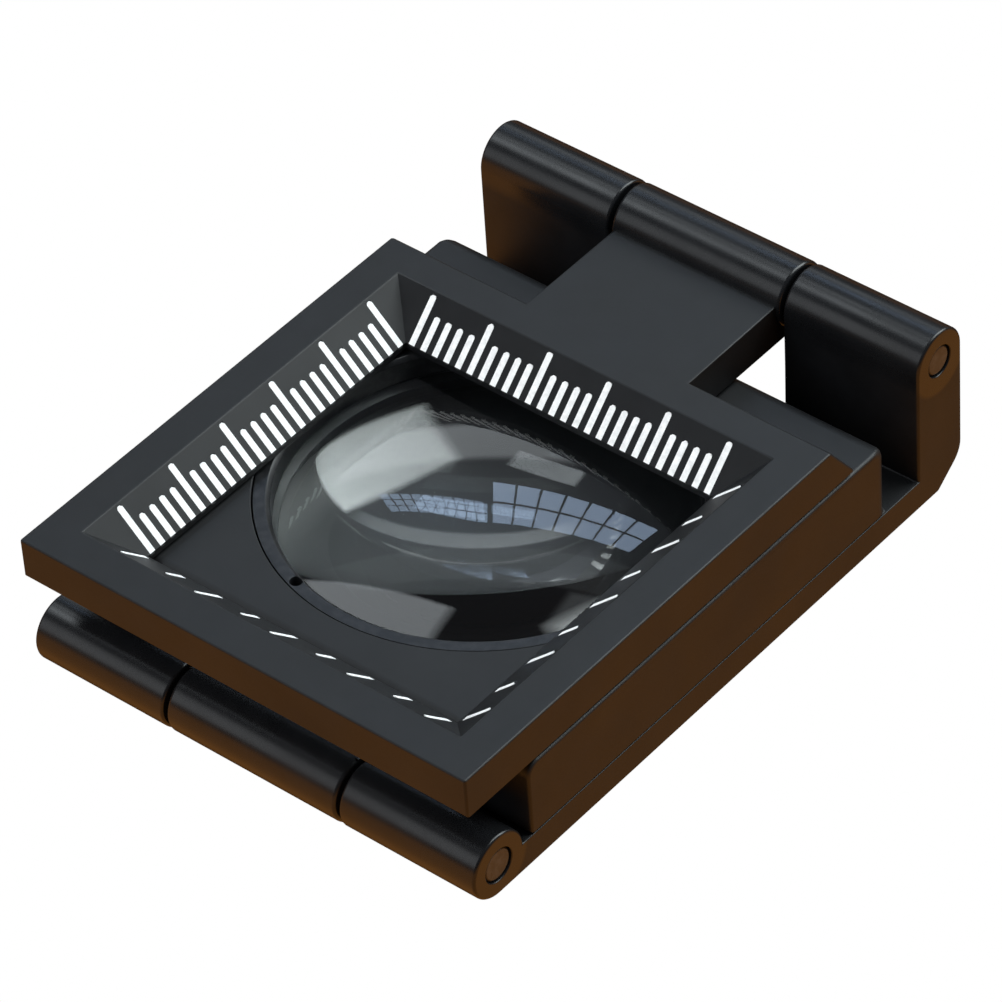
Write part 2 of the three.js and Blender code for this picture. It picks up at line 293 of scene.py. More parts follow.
def round_edges(obj, radius_at, widest, segments=4):
    """Rounds each sharp edge by radius_at(edge middle, edge direction, convex), at most widest.
    The rounded strips take the second material slot."""
    bm = bmesh.new()
    bm.from_mesh(obj.data)
    clean(bm)
    bm.normal_update()
    layer = bm.edges.layers.float.new("bevel_weight_edge")
    for edge in bm.edges:
        if len(edge.link_faces) != 2 or edge.calc_face_angle() < SHARP_FROM:
            continue
        middle = (edge.verts[0].co + edge.verts[1].co) / 2
        direction = (edge.verts[1].co - edge.verts[0].co).normalized()
        edge[layer] = min(1.0, radius_at(middle, direction, edge.is_convex) / widest)
    bm.to_mesh(obj.data)
    bm.free()
    bevel = obj.modifiers.new("round", "BEVEL")
    bevel.limit_method = "WEIGHT"
    bevel.width = widest
    bevel.segments = segments
    bevel.use_clamp_overlap = False
    bevel.material = 1
    obj.data.materials.clear()
    for _ in range(2):
        obj.data.materials.append(None)
    bake_modifiers(obj)
    return obj


def finish_piece(obj, body, nodes, materials):
    """To metres, with smooth shading, materials and its place on a body."""
    obj.data.transform(Matrix.Scale(MM, 4))
    obj.data.polygons.foreach_set("use_smooth", [True] * len(obj.data.polygons))
    obj.data.set_sharp_from_angle(angle=SMOOTH_BELOW)
    normals = obj.modifiers.new("normals", "WEIGHTED_NORMAL")
    normals.keep_sharp = True
    obj.data.materials.clear()
    for surface in materials:
        obj.data.materials.append(surface)
    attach(obj, body)
    if nodes:
        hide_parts(*nodes)


# ---------------------------------------------------------------- shapes


def pin_hole(centre, radius):
    """A cutter for the hole round a hinge pin, right through the knuckles."""
    reach = HALF_WIDTH + BEYOND
    hole_r = radius + PIN_CLEARANCE
    return turned_x("cut", [(-reach, hole_r), (reach, hole_r)], centre)


def near_pin(middle, *pins):
    return any(math.hypot(middle.y - y, middle.z - z) < NEAR_PIN for y, z in pins)


def ear_stop():
    """The stop on the ears, and the round above it, as (y, z) points relative to the scale pin."""
    lean = math.atan2(SCALE_BACK_LEAN, SCALE_TOP - SCALE_BOTTOM)
    normal = (math.sin(lean), -math.cos(lean))
    hangs = (BACK_PIN[1] - SCALE_TOP, SCALE_BACK - BACK_PIN[0])
    reach = hangs[0] * normal[0] + hangs[1] * normal[1] - STOP_GAP
    blend_y = BACK_KNUCKLE_R - STOP_BLEND_R
    blend_z = (normal[0] * blend_y + STOP_BLEND_R - reach) / -normal[1]
    bottom_y = (reach + normal[1] * BACK_PIN[1]) / normal[0]
    return arc((blend_y, blend_z), STOP_BLEND_R, 0, lean - math.pi / 2) + [(bottom_y, -BACK_PIN[1])]


def spine_plate():
    knee = math.asin((SPINE_TOP - FRONT_PIN[1]) / FRONT_KNUCKLE_R)
    profile = arc(FRONT_PIN, FRONT_KNUCKLE_R, 1.5 * math.pi, knee)
    profile.append((BACK_PIN[0] - BACK_KNUCKLE_R, SPINE_TOP))
    profile += arc(BACK_PIN, BACK_KNUCKLE_R, math.pi, 0)
    profile += [(BACK_PIN[0] + y, BACK_PIN[1] + z) for y, z in ear_stop()[1:]]
    plate = along_x("spine_body", profile, -HALF_WIDTH, HALF_WIDTH)
    height = SPINE_HIGH.z + BEYOND
    back_y = BACK_PIN[0] - BACK_KNUCKLE_R
    front_y = FRONT_PIN[0] + FRONT_KNUCKLE_R + ARM_CLEARANCE
    notch_length = 3 * BEYOND
    combine(plate, [
        block("cut", (-NOTCH_HALF, back_y, -BEYOND), (NOTCH_HALF, back_y + notch_length, height)),
        block("cut", (-NOTCH_HALF, front_y - notch_length, -BEYOND), (NOTCH_HALF, front_y, height)),
        pin_hole(FRONT_PIN, FRONT_PIN_R),
        pin_hole(BACK_PIN, BACK_PIN_R),
    ], "DIFFERENCE")

    def radius_at(middle, direction, convex):
        across = abs(direction.x) > ALONG
        if not convex:
            return INNER_CORNER if across else 0.0
        if near_pin(middle, FRONT_PIN, BACK_PIN):
            return PIN_HOLE_EDGE
        if abs(direction.y) > ALONG and abs(middle.z - SPINE_TOP) < ON_FACE:
            return STACKED_EDGE
        return SPINE_EDGE if across else SPINE_SIDE_EDGE

    return round_edges(plate, radius_at, SPINE_EDGE)


def window_cutter():
    def square(half, z):
        return [(-half, WINDOW_Y - half, z), (half, WINDOW_Y - half, z),
                (half, WINDOW_Y + half, z), (-half, WINDOW_Y + half, z)]

    rise = BEVEL_DEPTH + BEYOND
    top_half = WINDOW_HALF + BEVEL_WIDTH * rise / BEVEL_DEPTH
    foot = SCALE_BOTTOM + WINDOW_LAND
    return loft("cut", [
        square(WINDOW_HALF, SCALE_BOTTOM - BEYOND),
        square(WINDOW_HALF, foot),
        square(top_half, foot + rise),
    ])


def mark_places():
    """(scale, turn about the window's centre, place along the side, start and end up the slope)."""
    scales = ((METRIC, 0), (METRIC, math.pi / 2), (INCH, math.pi), (INCH, -math.pi / 2))
    for scale, turn in scales:
        for i in range(scale["count"]):
            place = (i - (scale["count"] - 1) / 2) * scale["pitch"]
            end = scale["long"] if i % scale["long_every"] == 0 else scale["short"]
            yield scale, turn, place, SLOPE_LENGTH * scale["start"], SLOPE_LENGTH * end


def bar_on_bevel(bm, turn, place, outline, low, high):
    """A bar whose outline is drawn on the +Y bevel (across, up the slope), turned to its side."""
    slope = math.atan2(BEVEL_DEPTH, BEVEL_WIDTH)
    to_bevel = (
        Matrix.Translation((0, WINDOW_Y, SCALE_BOTTOM + WINDOW_LAND))
        @ Matrix.Rotation(turn, 4, "Z")
        @ Matrix.Translation((place, WINDOW_HALF, 0))
        @ Matrix.Rotation(slope, 4, "X")
    )
    rows = []
    for depth in (low, high):
        rows.append([bm.verts.new(to_bevel @ Vector((x, y, depth))) for x, y in outline])
    for i in range(len(outline)):
        j = (i + 1) % len(outline)
        bm.faces.new((rows[0][i], rows[0][j], rows[1][j], rows[1][i]))
    bm.faces.new(rows[0][::-1])
    bm.faces.new(rows[1])


def groove_cutter():
    bm = bmesh.new()
    for scale, turn, place, start, end in mark_places():
        half = scale["width"] / 2
        low = start if start > 0 else -MARK_DEPTH
        outline = [(-half, low), (half, low), (half, end), (-half, end)]
        bar_on_bevel(bm, turn, place, outline, -MARK_DEPTH, MARK_DEPTH)
    return new_object("cut", bm)


def paint_in_marks():
    """The paint that fills the engraved marks and stands a hair proud of the metal."""
    chance = random.Random(26)
    bm = bmesh.new()
    for scale, turn, place, start, end in mark_places():
        half = scale["width"] / 2 + PAINT_SPREAD
        foot = start + scale["bare"]
        top = end - scale["bare"] - chance.uniform(0, PAINT_SHORT)
        corner = half * chance.uniform(*PAINT_CORNER)
        outline = [
            (-half, foot), (half, foot), (half, top - corner), (half - corner, top),
            (corner - half, top), (-half, top - corner),
        ]
        surface = PAINT_PROUD + chance.uniform(0, PAINT_UNEVEN)
        bar_on_bevel(bm, turn, place, outline, -MARK_DEPTH + PAINT_BED, surface)
    return new_object("scale_marks", bm)


def scale_plate():
    plate = along_x("scale_body", [
        (SCALE_FRONT, SCALE_BOTTOM),
        (SCALE_BACK + SCALE_BACK_LEAN, SCALE_BOTTOM),
        (SCALE_BACK, SCALE_TOP),
        (SCALE_FRONT, SCALE_TOP),
    ], -HALF_WIDTH, HALF_WIDTH)
    far = (-TONGUE_END, SCALE_BOTTOM - BACK_PIN[1])
    length = math.hypot(*far)
    tangent = math.atan2(far[1], far[0]) + math.acos(BACK_KNUCKLE_R / length)
    touch = (BACK_KNUCKLE_R * math.cos(tangent), BACK_KNUCKLE_R * math.sin(tangent))
    inside = SCALE_BACK - TONGUE_ROOT
    tongue = along_x("tongue", [
        (inside, SCALE_BOTTOM),
        (BACK_PIN[0] + far[0], SCALE_BOTTOM),
        (BACK_PIN[0] + touch[0], BACK_PIN[1] + touch[1]),
        BACK_PIN,
        (BACK_PIN[0], SCALE_TOP),
        (inside, SCALE_TOP),
    ], -TONGUE_HALF, TONGUE_HALF)
    knuckle = turned_x("knuckle", [
        (-CENTRE_KNUCKLE_HALF, BACK_KNUCKLE_R), (CENTRE_KNUCKLE_HALF, BACK_KNUCKLE_R),
    ], BACK_PIN)
    combine(plate, [tongue, knuckle], "UNION")
    combine(plate, [window_cutter(), groove_cutter(), pin_hole(BACK_PIN, BACK_PIN_R)], "DIFFERENCE")
    window_edge = WINDOW_HALF + BEVEL_WIDTH

    def radius_at(middle, direction, convex):
        from_window = max(abs(middle.x), abs(middle.y - WINDOW_Y))
        if not convex:
            return 0.0
        if near_pin(middle, BACK_PIN):
            return PIN_HOLE_EDGE
        if from_window < window_edge - ON_FACE:
            return 0.0
        if from_window < window_edge + ON_FACE:
            return WINDOW_EDGE
        on_knuckle = abs(middle.y - BACK_PIN[0]) <= BACK_KNUCKLE_R + ON_FACE
        if on_knuckle and abs(middle.x) > TONGUE_HALF + MARGIN:
            return SCALE_KNUCKLE_EDGE
        if middle.z < SCALE_BOTTOM + ON_FACE:
            return STACKED_EDGE if abs(direction.y) > ALONG else SCALE_UNDER_EDGE
        if abs(middle.z - SCALE_TOP) < ON_FACE:
            return SCALE_TOP_EDGE
        return SCALE_EDGE

    return round_edges(plate, radius_at, SCALE_UNDER_EDGE)


def lens_plate():
    profile = [(LENS_PLATE_FRONT, LENS_PLATE_BOTTOM), (LENS_PLATE_BACK, LENS_PLATE_BOTTOM)]
    for edge, inward, radius, start in (
        (LENS_PLATE_BACK, -1, LENS_PLATE_BACK_ROUND, 0),
        (LENS_PLATE_FRONT, 1, LENS_PLATE_FRONT_ROUND, math.pi / 2),
    ):
        centre = (edge + inward * radius, LENS_PLATE_TOP - radius)
        profile += arc(centre, radius, start, start + math.pi / 2)
    plate = along_x("lens_body", profile, -HALF_WIDTH, HALF_WIDTH)
    arm = block(
        "arm",
        (-CENTRE_KNUCKLE_HALF + ARM_INSET, FRONT_PIN[0], LENS_PLATE_BOTTOM),
        (CENTRE_KNUCKLE_HALF - ARM_INSET, LENS_PLATE_FRONT + ARM_ROOT, 2 * FRONT_KNUCKLE_R - ARM_INSET),
    )
    knuckle = turned_x("knuckle", [
        (-CENTRE_KNUCKLE_HALF, FRONT_KNUCKLE_R), (CENTRE_KNUCKLE_HALF, FRONT_KNUCKLE_R),
    ], FRONT_PIN)
    combine(plate, [arm, knuckle], "UNION")
    cell = turned_z("cut", [
        (APERTURE_R, LENS_PLATE_BOTTOM - BEYOND),
        (APERTURE_R, SEAT_Z),
        (LENS_POCKET_R, SEAT_Z),
        (LENS_POCKET_R, RING_SHOULDER),
        (RING_BORE_R, RING_SHOULDER),
        (RING_BORE_R, LENS_PLATE_TOP + BEYOND),
    ], (0, LENS_Y))
    combine(plate, [cell, pin_hole(FRONT_PIN, FRONT_PIN_R)], "DIFFERENCE")
    round_start = (LENS_PLATE_BACK - LENS_PLATE_BACK_ROUND, LENS_PLATE_TOP - LENS_PLATE_BACK_ROUND)

    def radius_at(middle, direction, convex):
        if not convex:
            return 0.0
        if near_pin(middle, FRONT_PIN):
            return PIN_HOLE_EDGE
        if math.hypot(middle.x, middle.y - LENS_Y) < RING_BORE_R + MARGIN:
            return BORE_EDGE
        on_underside = middle.z < LENS_PLATE_BOTTOM + ON_FACE
        on_side = abs(middle.x) > HALF_WIDTH - ON_FACE
        if on_side and middle.y > round_start[0] and not on_underside:
            # The upright back corner's wide rounding narrows as it runs over the top
            up = max(0.0, middle.z - round_start[1])
            share = math.atan2(up, middle.y - round_start[0]) / (math.pi / 2)
            return LENS_PLATE_CORNER + (LENS_PLATE_EDGE - LENS_PLATE_CORNER) * share
        if abs(middle.y - FRONT_PIN[0]) < FRONT_KNUCKLE_R + ON_FACE:
            return LENS_KNUCKLE_EDGE
        return STACKED_EDGE if on_underside and abs(direction.y) > ALONG else LENS_PLATE_EDGE

    return round_edges(plate, radius_at, LENS_PLATE_CORNER)


def retaining_ring():
    outer = (RING_HIGH.x - RING_LOW.x) / 2
    ring = turned_z("cell_ring", [
        (RING_INNER_R, RING_LOW.z),
        (outer, RING_LOW.z),
        (outer, RING_HIGH.z),
        (RING_INNER_R + RING_CHAMFER, RING_HIGH.z),
        (RING_INNER_R, RING_HIGH.z - RING_CHAMFER),
    ], (0, LENS_Y), ring_shape=True)
    middle_r = (RING_INNER_R + outer) / 2
    holes = []
    for turn in (0, 180):
        angle = math.radians(SPANNER_HOLE_ANGLE + turn)
        centre = (middle_r * math.cos(angle), LENS_Y + middle_r * math.sin(angle))
        floor = RING_HIGH.z - SPANNER_HOLE_DEPTH
        holes.append(turned_z("cut", [
            (SPANNER_HOLE_R, floor), (SPANNER_HOLE_R, RING_HIGH.z + BEYOND),
        ], centre, facets=SPANNER_HOLE_FACETS))
    combine(ring, holes, "DIFFERENCE")
    return round_edges(ring, lambda middle, direction, convex: RING_EDGE if convex else 0.0, RING_EDGE, 2)


def lens_faces():
    """The lens's (radius, z) profile from the middle of its underside to the middle of its top."""
    bulge = (LENS_HIGH.z - LENS_LOW.z - LENS_EDGE) / 2
    curve_r = (LENS_R ** 2 + bulge ** 2) / (2 * bulge)
    top = []
    for i in range(1, LENS_RINGS + 1):
        radius = LENS_R * i / LENS_RINGS
        rise = math.sqrt(curve_r ** 2 - radius ** 2) - (curve_r - bulge)
        top.append((radius, LENS_EDGE / 2 + rise))
    apex = LENS_EDGE / 2 + bulge
    under = [(r, -z) for r, z in top]
    return apex, [(r, LENS_Z + z) for r, z in under + top[::-1]]


def lens():
    apex, profile = lens_faces()
    bm = bmesh.new()
    rows = []
    for radius, z in profile:
        row = []
        for i in range(CELL_FACETS):
            angle = 2 * math.pi * i / CELL_FACETS
            row.append(bm.verts.new((radius * math.cos(angle), LENS_Y + radius * math.sin(angle), z)))
        rows.append(row)
    for low, high in zip(rows, rows[1:]):
        for i in range(CELL_FACETS):
            j = (i + 1) % CELL_FACETS
            face = bm.faces.new((low[i], low[j], high[j], high[i]))
            face.material_index = int(low is rows[LENS_RINGS - 1])
    for row, z in ((rows[0], LENS_Z - apex), (rows[-1], LENS_Z + apex)):
        pole = bm.verts.new((0, LENS_Y, z))
        for i in range(CELL_FACETS):
            bm.faces.new((row[i], row[(i + 1) % CELL_FACETS], pole))
    return new_object("lens_glass", bm)


def hinge_pin(name, node, centre):
    low, high = node_box(node)
    radius = (high.z - low.z) / 2
    pin = turned_x(name, [
        (low.x, radius - PIN_CHAMFER),
        (low.x + PIN_CHAMFER, radius),
        (high.x - PIN_CHAMFER, radius),
        (high.x, radius - PIN_CHAMFER),
    ], centre)
    return round_edges(pin, lambda middle, direction, convex: PIN_EDGE, PIN_EDGE, 2)


# ---------------------------------------------------------------- materials


class Nodes:
    """Short calls for building one node tree."""

    def __init__(self, tree):
        self.tree = tree
        tree.nodes.clear()

    def add(self, kind, inputs=None, **settings):
        node = self.tree.nodes.new(kind)
        for key, value in settings.items():
            setattr(node, key, value)
        for key, value in (inputs or {}).items():
            if isinstance(value, bpy.types.NodeSocket):
                self.tree.links.new(value, node.inputs[key])
            else:
                node.inputs[key].default_value = value
        return node

    def noise(self, place, scale, detail, roughness):
        return self.add("ShaderNodeTexNoise", {
            "Vector": place, "Scale": scale, "Detail": detail, "Roughness": roughness,
        }).outputs["Fac"]

    def ramp(self, value, low, high, out_low=0.0, out_high=1.0):
        return self.add("ShaderNodeMapRange", {
            "Value": value, "From Min": low, "From Max": high, "To Min": out_low, "To Max": out_high,
        }).outputs["Result"]

    def math(self, operation, a, b):
        return self.add("ShaderNodeMath", {0: a, 1: b}, operation=operation).outputs[0]

    def mix(self, factor, a, b):
        return self.add("ShaderNodeMix", {0: factor, 6: a, 7: b}, data_type="RGBA").outputs[2]


def material(name):
    made = bpy.data.materials.new(name)
    made.use_nodes = True
    return made, Nodes(made.node_tree)


# Noise scales, in waves to a metre
GRAIN = 9000
GRIT = 6000
PAINT_LUMPS = 2600
NICKS_AND_GLINTS = 1900
DUST = 700
BLOTCHES = 420
SMUDGES = 110

BARREL_FADE = (0.05, 0.4)  # the rubbed barrels' finish fades out between these distances from them
COAT_SHADES = (0.85, 1.2)
COAT_IOR = 1.4
COAT_BUMP = 0.05
COAT_BUMP_DEPTH = 0.00002  # metres, as is the paint's
SMUDGE_ROUGHNESS = (-0.04, 0.05)
GRAIN_ROUGHNESS = (-0.02, 0.02)
PAINT_SHADE = 0.78
PAINT_ROUGHNESS = 0.55
PAINT_BUMP = 0.3
PAINT_BUMP_DEPTH = 0.00003
GLASS_IOR = 1.52
GLASS_TINT = (0.96, 0.985, 0.975, 1)
GLASS_SHADOW_TINT = (0.9, 0.92, 0.92, 1)
DUSTY_ROUGHNESS = 0.02
RIM_SHADES = ((0.02, 0.02, 0.02, 1), (0.06, 0.06, 0.06, 1))
RIM_ROUGHNESS = 0.7


def near_hinges(n, place):
    """1 on the barrels round the hinge pins, fading to 0 just outside them."""
    flat = n.add("ShaderNodeVectorMath", {0: place, 1: (0, 1, 1)}, operation="MULTIPLY").outputs[0]
    masks = []
    for pin, radius in ((FRONT_PIN, FRONT_KNUCKLE_R), (BACK_PIN, BACK_KNUCKLE_R)):
        centre = (0, pin[0] * MM, pin[1] * MM)
        away = n.add("ShaderNodeVectorMath", {0: flat, 1: centre}, operation="DISTANCE").outputs["Value"]
        start, end = [(radius + beyond) * MM for beyond in BARREL_FADE]
        masks.append(n.ramp(away, start, end, 1.0, 0.0))
    return n.math("MAXIMUM", *masks)


def coated_metal(name, colour, wear_and_highlight_colour, roughness, wear_and_highlight, grain=1.0, barrel_roughness=None):
    """Satin black coating: fine grain, faint smudges, and pale patches in the second colour where their
    amount is above 0. On the rounded edge strips these patches are partly rubbed coating and partly
    painted highlight.
    With barrel_roughness the coating is rubbed smoother on the hinge barrels."""
    made, n = material(name)
    place = n.add("ShaderNodeTexCoord").outputs["Object"]
    fine = n.noise(place, GRAIN, 2.0, 0.6)
    blotch = n.noise(place, BLOTCHES, 4.0, 0.6)
    smudge = n.noise(place, SMUDGES, 3.0, 0.5)
    dark, light = [(*[c * shade for c in colour], 1) for shade in COAT_SHADES]
    tone = n.mix(n.ramp(blotch, 0.35, 0.7), dark, light)
    # Pale patches: on the flat coat they are rubbed coating; on the rounded edge strips they are partly
    # that and partly painted highlight lines and glints.
    nick_and_glint_noise = n.noise(place, NICKS_AND_GLINTS, 3.0, 0.65)
    wear_and_highlight_mask = n.math("MULTIPLY", n.ramp(nick_and_glint_noise, 0.42, 0.66), wear_and_highlight)
    tone = n.mix(wear_and_highlight_mask, tone, (*wear_and_highlight_colour, 1))
    rough = roughness
    if barrel_roughness is not None:
        rough = n.ramp(near_hinges(n, place), 0, 1, roughness, barrel_roughness)
    rough = n.math("ADD", rough, n.ramp(smudge, 0.3, 0.7, *SMUDGE_ROUGHNESS))
    rough = n.math("ADD", rough, n.ramp(fine, 0.3, 0.7, *GRAIN_ROUGHNESS))
    bump = n.add("ShaderNodeBump", {
        "Height": fine, "Strength": COAT_BUMP * grain, "Distance": COAT_BUMP_DEPTH,
    })
    shader = n.add("ShaderNodeBsdfPrincipled", {
        "Base Color": tone, "Roughness": rough, "IOR": COAT_IOR, "Normal": bump.outputs["Normal"],
    })
    n.add("ShaderNodeOutputMaterial", {"Surface": shader.outputs[0]})
    return made


def paint(name, colour):
    """White filler in the engraved marks, a little uneven."""
    made, n = material(name)
    place = n.add("ShaderNodeTexCoord").outputs["Object"]
    uneven = n.noise(place, PAINT_LUMPS, 3.0, 0.6)
    tone = n.mix(n.ramp(uneven, 0.35, 0.75), (*colour, 1), (*[c * PAINT_SHADE for c in colour], 1))
    bump = n.add("ShaderNodeBump", {
        "Height": uneven, "Strength": PAINT_BUMP, "Distance": PAINT_BUMP_DEPTH,
    })
    shader = n.add("ShaderNodeBsdfPrincipled", {
        "Base Color": tone, "Roughness": PAINT_ROUGHNESS, "Normal": bump.outputs["Normal"],
    })
    n.add("ShaderNodeOutputMaterial", {"Surface": shader.outputs[0]})
    return made


def clear_glass(name):
    """Polished glass that lets lamps light what lies under it."""
    made, n = material(name)
    place = n.add("ShaderNodeTexCoord").outputs["Object"]
    dust = n.noise(place, DUST, 4.0, 0.6)
    glass = n.add("ShaderNodeBsdfPrincipled", {
        "Base Color": GLASS_TINT, "IOR": GLASS_IOR, "Transmission Weight": 1.0,
        "Roughness": n.ramp(dust, 0.55, 0.8, 0.0, DUSTY_ROUGHNESS),
    })
    clear = n.add("ShaderNodeBsdfTransparent", {"Color": GLASS_SHADOW_TINT})
    is_shadow = n.add("ShaderNodeLightPath").outputs["Is Shadow Ray"]
    shader = n.add("ShaderNodeMixShader", {0: is_shadow, 1: glass.outputs[0], 2: clear.outputs[0]})
    n.add("ShaderNodeOutputMaterial", {"Surface": shader.outputs[0]})
    return made


def ground_glass(name):
    """The lens's ground and blackened rim."""
    made, n = material(name)
    place = n.add("ShaderNodeTexCoord").outputs["Object"]
    grit = n.noise(place, GRIT, 2.0, 0.6)
    tone = n.mix(grit, *RIM_SHADES)
    shader = n.add("ShaderNodeBsdfPrincipled", {"Base Color": tone, "Roughness": RIM_ROUGHNESS})
    n.add("ShaderNodeOutputMaterial", {"Surface": shader.outputs[0]})
    return made


# ---------------------------------------------------------------- the magnifier

BLACK = (0.005, 0.0054, 0.0062)
# The next two pale tones go on the rounded edges of the plates and the ring: partly rubbed coating,
# partly painted highlight lines and glints.
EDGE_WEAR_AND_HIGHLIGHT = (0.19, 0.19, 0.2)
RING_EDGE_WEAR_AND_HIGHLIGHT = (0.25, 0.26, 0.27)
PIN_BLACK = (0.02, 0.019, 0.018)
PIN_TONE = (0.09, 0.085, 0.08)
PIN_EDGE_TONE = (0.12, 0.115, 0.11)
MARK_WHITE = (0.93, 0.94, 0.94)

plate_coat = coated_metal("plate_coat", BLACK, EDGE_WEAR_AND_HIGHLIGHT, roughness=0.5, wear_and_highlight=0.0, barrel_roughness=0.27)
# Rounded edge strips of the plates: their pale patches are partly rubbed coating and partly painted
# highlights.
plate_edge = coated_metal(
    "plate_edge", BLACK, EDGE_WEAR_AND_HIGHLIGHT, roughness=0.34, wear_and_highlight=0.85, grain=0.5, barrel_roughness=0.28,
)
ring_coat = coated_metal("ring_coat", BLACK, EDGE_WEAR_AND_HIGHLIGHT, roughness=0.32, wear_and_highlight=0.05, grain=0.6)
# The ring's rounded edges: their pale patches are partly rubbed coating and partly a painted highlight
# line.
ring_edge = coated_metal("ring_edge", BLACK, RING_EDGE_WEAR_AND_HIGHLIGHT, roughness=0.3, wear_and_highlight=0.9, grain=0.3)
pin_coat = coated_metal("pin_coat", PIN_BLACK, PIN_TONE, roughness=0.36, wear_and_highlight=0.3)
pin_edge = coated_metal("pin_edge", PIN_BLACK, PIN_EDGE_TONE, roughness=0.3, wear_and_highlight=0.8)
white_paint = paint("white_paint", MARK_WHITE)
glass = clear_glass("lens_clear")
ground = ground_glass("lens_rim")

finish_piece(spine_plate(), "spine", ["spine_plate"], [plate_coat, plate_edge])
finish_piece(scale_plate(), "scale", ["scale_plate"], [plate_coat, plate_edge])
finish_piece(paint_in_marks(), "scale", [], [white_paint])
finish_piece(lens_plate(), "lens_holder", ["lens_plate"], [plate_coat, plate_edge])
finish_piece(retaining_ring(), "lens_holder", ["lens_retaining_ring"], [ring_coat, ring_edge])
finish_piece(lens(), "lens_holder", ["lens"], [glass, ground])
finish_piece(hinge_pin("scale_pin", "scale_hinge_pin", BACK_PIN), "spine",
             ["scale_hinge_pin"], [pin_coat, pin_edge])
finish_piece(hinge_pin("lens_pin", "lens_hinge_pin", FRONT_PIN), "spine",
             ["lens_hinge_pin"], [pin_coat, pin_edge])

# ---------------------------------------------------------------- floor, light and camera

FLOOR_Z = -0.045  # below the scale plate when it is swung right down
FLOOR_HALF = 6.0
ROOM_R = 0.9
PANEL_STEPS = 4
SOFT_PANEL_STEPS = 24

# The room's colours by height, from straight down (0) over the horizon (0.5) to straight up (1)
ROOM_COLOURS = (
    (0.0, (0.7, 0.28, 0.06, 1)),
    (0.45, (1.2, 0.5, 0.12, 1)),
    (0.52, (0.05, 0.045, 0.04, 1)),
    (0.72, (0.10, 0.11, 0.13, 1)),
    (0.88, (0.14, 0.15, 0.17, 1)),
    (1.0, (0.12, 0.12, 0.13, 1)),
)
FAR_TABLE_AZIMUTH = 222
FAR_TABLE_LEVEL = 0.08
FAR_TABLE_FADE = (0.15, 0.5)  # as cosines of the angle from that azimuth
HORIZON_FADE = (-0.1, 0.0)  # as heights on the unit sphere

CAMERA_AIM = Vector((0.6, -0.6, 7.0)) * MM
CAMERA_DISTANCE = 415.18 * MM
CAMERA_AZIMUTH = 42.018
CAMERA_ELEVATION = 42.279
CAMERA_ROLL = math.radians(-4.016)
CAMERA_LENS = 227.905
CAMERA_SENSOR = 36
CAMERA_CLIP = (0.01, 50)


def direction(azimuth, elevation):
    """Unit vector towards a place seen at azimuth (0 is -Y, 90 is +X) and elevation, in degrees."""
    a, e = math.radians(azimuth), math.radians(elevation)
    return Vector((math.sin(a) * math.cos(e), -math.cos(a) * math.cos(e), math.sin(e)))


def only_seen_by(obj, camera=False, glossy=False, diffuse=False, transmission=False):
    obj.visible_camera = camera
    obj.visible_glossy = glossy
    obj.visible_diffuse = diffuse
    obj.visible_transmission = transmission
    obj.visible_shadow = False
    obj.visible_volume_scatter = False


def pale_floor():
    bm = bmesh.new()
    corners = ((-1, -1), (1, -1), (1, 1), (-1, 1))
    bm.faces.new([bm.verts.new((x * FLOOR_HALF, y * FLOOR_HALF, FLOOR_Z)) for x, y in corners])
    floor = new_object("floor", bm)
    made, n = material("floor")
    light = n.add("ShaderNodeEmission", {"Color": (1, 1, 1, 1), "Strength": 1.0})
    n.add("ShaderNodeOutputMaterial", {"Surface": light.outputs[0]})
    floor.data.materials.append(made)
    only_seen_by(floor, camera=True)


def panel_mesh(name, corners, panes, gap, soft, far):
    """A panel on the sphere ROOM_R, with its brightness as the vertex attribute fade."""
    bm = bmesh.new()
    fade = bm.verts.layers.float.new("fade")
    steps = SOFT_PANEL_STEPS if soft else PANEL_STEPS
    low_left, low_right, high_right, high_left = [direction(*corner) for corner in corners]
    columns, rows = panes
    for column, row in itertools.product(range(columns), range(rows)):
        grid = []
        for i, j in itertools.product(range(steps + 1), repeat=2):
            u = (column + gap / 2 + (1 - gap) * i / steps) / columns
            v = (row + gap / 2 + (1 - gap) * j / steps) / rows
            place = low_left.lerp(low_right, u).lerp(high_left.lerp(high_right, u), v)
            vert = bm.verts.new(place.normalized() * ROOM_R)
            inside = min(i, j, steps - i, steps - j) / steps
            edge = min(1.0, inside / soft) if soft else 1.0
            vert[fade] = edge * edge * (3 - 2 * edge) * (1 + (far - 1) * v)
            grid.append(vert)
        for i, j in itertools.product(range(steps), repeat=2):
            k = i * (steps + 1) + j
            bm.faces.new((grid[k], grid[k + 1], grid[k + steps + 2], grid[k + steps + 1]))
    mesh = bpy.data.meshes.new(name)
    bm.to_mesh(mesh)
    bm.free()
    return mesh


def light_panel(name, corners, colour, strength, panes=(1, 1), gap=0.0, soft=0.0, far=1.0, glossy=True):
    """A light on a sphere round the magnifier. Its corners are (azimuth, elevation) at (0, 0),
    (1, 0), (1, 1) and (0, 1) across and up it; panes are split by bars of a share gap of a pane.
    It fades out over the share soft of its width and height, and to the level far at its far side.
    Without glossy it lights only what is matt, and is not mirrored or seen through the glass."""
    mesh = panel_mesh(name, corners, panes, gap, soft, far)
    panel = bpy.data.objects.new(name, mesh)
    bpy.context.scene.collection.objects.link(panel)
    made, n = material(name)
    level = n.add("ShaderNodeAttribute", attribute_name="fade").outputs["Fac"]
    light = n.add("ShaderNodeEmission", {"Color": (*colour, 1), "Strength": strength})
    see_through = n.add("ShaderNodeBsdfTransparent")
    mixed = n.add("ShaderNodeMixShader", {0: level, 1: see_through.outputs[0], 2: light.outputs[0]})
    n.add("ShaderNodeOutputMaterial", {"Surface": mixed.outputs[0]})
    mesh.materials.append(made)
    only_seen_by(panel, glossy=glossy, diffuse=True, transmission=glossy)


